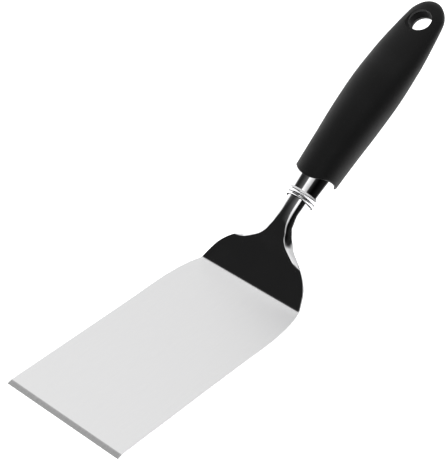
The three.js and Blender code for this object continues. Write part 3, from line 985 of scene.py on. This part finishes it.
floor_mesh.materials.append(acrylic)

print("table of", table.dimensions.x, "m")

# %% [markdown]
# ## A studio that is bright behind and dark in front
# The world's brightness depends on direction. A colour ramp from front to back gives the
# large gradient: a bright back makes the flat blade light, and a dark front makes the steep
# web black. A second ramp darkens the right, and a third adds a white wall on the left, so
# that the chrome gets its light and dark bands. Two more, multiplied, make a soft panel
# overhead. It draws the white stripe down the ferrule and the neck.

# %% World gradient
world = bpy.data.worlds.new("Studio")
bpy.context.scene.world = world
world.use_nodes = True
tree = world.node_tree
backdrop = tree.nodes["Background"]
backdrop.inputs["Color"].default_value = (1, 1, 1, 1)
place = add_node(tree, "TexCoord")
split = add_node(tree, "SeparateXYZ")
join(tree, place, "Generated", split, "Vector")


def ramp(source, stops):
    """Brightness at a few places from -1 to 1 along one direction."""
    spread = add_node(tree, "MapRange", {"From Min": -1.0, "From Max": 1.0})
    tree.links.new(source, spread.inputs["Value"])
    colours = add_node(tree, "ValToRGB")
    colours.color_ramp.interpolation = "B_SPLINE" if len(stops) > 3 else "EASE"
    band = colours.color_ramp.elements
    band.remove(band[-1])
    first_at, first_level = stops[0]
    band[0].position = (first_at + 1) / 2
    band[0].color = (first_level, first_level, first_level, 1)
    for place_at, level in stops[1:]:
        band.new((place_at + 1) / 2).color = (level, level, level, 1)
    join(tree, spread, "Result", colours, "Fac")
    return colours


front_to_back = ramp(split.outputs["Y"], [
    (-1.0, 0.016), (-0.5, 0.016), (-0.36, 0.023), (-0.2, 0.13), (-0.07, 0.40),
    (0.1, 0.75), (0.32, 1.0), (0.56, 0.86), (0.75, 0.72), (1.0, 0.7),
])
right_side = ramp(split.outputs["X"], [(0.5, 1.0), (0.77, 0.02)])
left_wall = ramp(split.outputs["X"], [(-0.84, 1.0), (-0.74, 0.0)])
dimmed = add_node(tree, "Math", operation="MULTIPLY")
join(tree, front_to_back, "Color", dimmed, 0)
join(tree, right_side, "Color", dimmed, 1)
white_wall = add_node(tree, "MapRange", {"To Max": 1.4})
join(tree, left_wall, "Color", white_wall, "Value")
lit = add_node(tree, "Math", operation="MAXIMUM")
join(tree, dimmed, "Value", lit, 0)
join(tree, white_wall, "Result", lit, 1)
panel_across = ramp(split.outputs["X"], [
    (-0.04, 0.0), (0.02, 1.0), (0.08, 1.0), (0.2, 0.7), (0.36, 0.3), (0.5, 0.1), (0.6, 0.0)])
panel_along = ramp(split.outputs["Y"], [(-0.75, 0.0), (-0.5, 0.8), (-0.36, 1.0), (-0.2, 0.5), (-0.05, 0.0)])
panel = add_node(tree, "Math", operation="MULTIPLY")
join(tree, panel_across, "Color", panel, 0)
join(tree, panel_along, "Color", panel, 1)
above = add_node(tree, "MapRange", {"From Min": 0.1, "From Max": 0.3, "To Max": 1.5})
join(tree, split, "Z", above, "Value")
overhead = add_node(tree, "Math", operation="MULTIPLY")
join(tree, panel, "Value", overhead, 0)
join(tree, above, "Result", overhead, 1)
whole = add_node(tree, "Math", operation="MAXIMUM")
join(tree, lit, "Value", whole, 0)
join(tree, overhead, "Value", whole, 1)
join(tree, whole, "Value", backdrop, "Strength")

# %% [markdown]
# ## One long softbox
# A weak softbox hangs above and in front, a little to the right, turned along the handle. It
# adds a little light where the panel's stripe lies.

# %% Softbox
SOFTBOX_DISTANCE = 0.9

lip_place = HANDLE_FRAME @ Vector((0, 0, 0))
axis_z = Vector((0.25, -0.42, 0.87)).normalized()
softbox_data = bpy.data.lights.new("Softbox", "AREA")
softbox_data.shape = "RECTANGLE"
softbox_data.size = 0.5
softbox_data.size_y = 0.9
softbox_data.energy = 0.6
softbox = bpy.data.objects.new("Softbox", softbox_data)
bpy.context.scene.collection.objects.link(softbox)
handle_way = Vector((0, math.cos(HANDLE_PITCH), math.sin(HANDLE_PITCH)))
axis_x = handle_way.cross(axis_z).normalized()
axis_y = axis_z.cross(axis_x)
facing = Matrix((axis_x, axis_y, axis_z)).transposed().to_4x4()
softbox.matrix_world = Matrix.Translation(lip_place + axis_z * SOFTBOX_DISTANCE) @ facing

print("softbox at", [round(v, 2) for v in softbox.location])

# %% [markdown]
# ## The camera
# A long lens from the front right and above, as for a catalogue. A long lens keeps the
# handle, which reaches away, from looking small.

# %% Camera and view
camera_data = bpy.data.cameras.new("Camera")
camera_data.sensor_width = 36.0
camera_data.lens = 116.63
camera = bpy.data.objects.new("Camera", camera_data)
bpy.context.scene.collection.objects.link(camera)
camera.location = (0.3685, EDGE_Y - 0.38865, 0.5257)
camera.rotation_euler = [math.radians(a) for a in (52.927, -4.792, 39.56)]
bpy.context.scene.camera = camera
bpy.context.scene.view_settings.view_transform = "Standard"

print("camera", [round(v, 3) for v in camera.location])
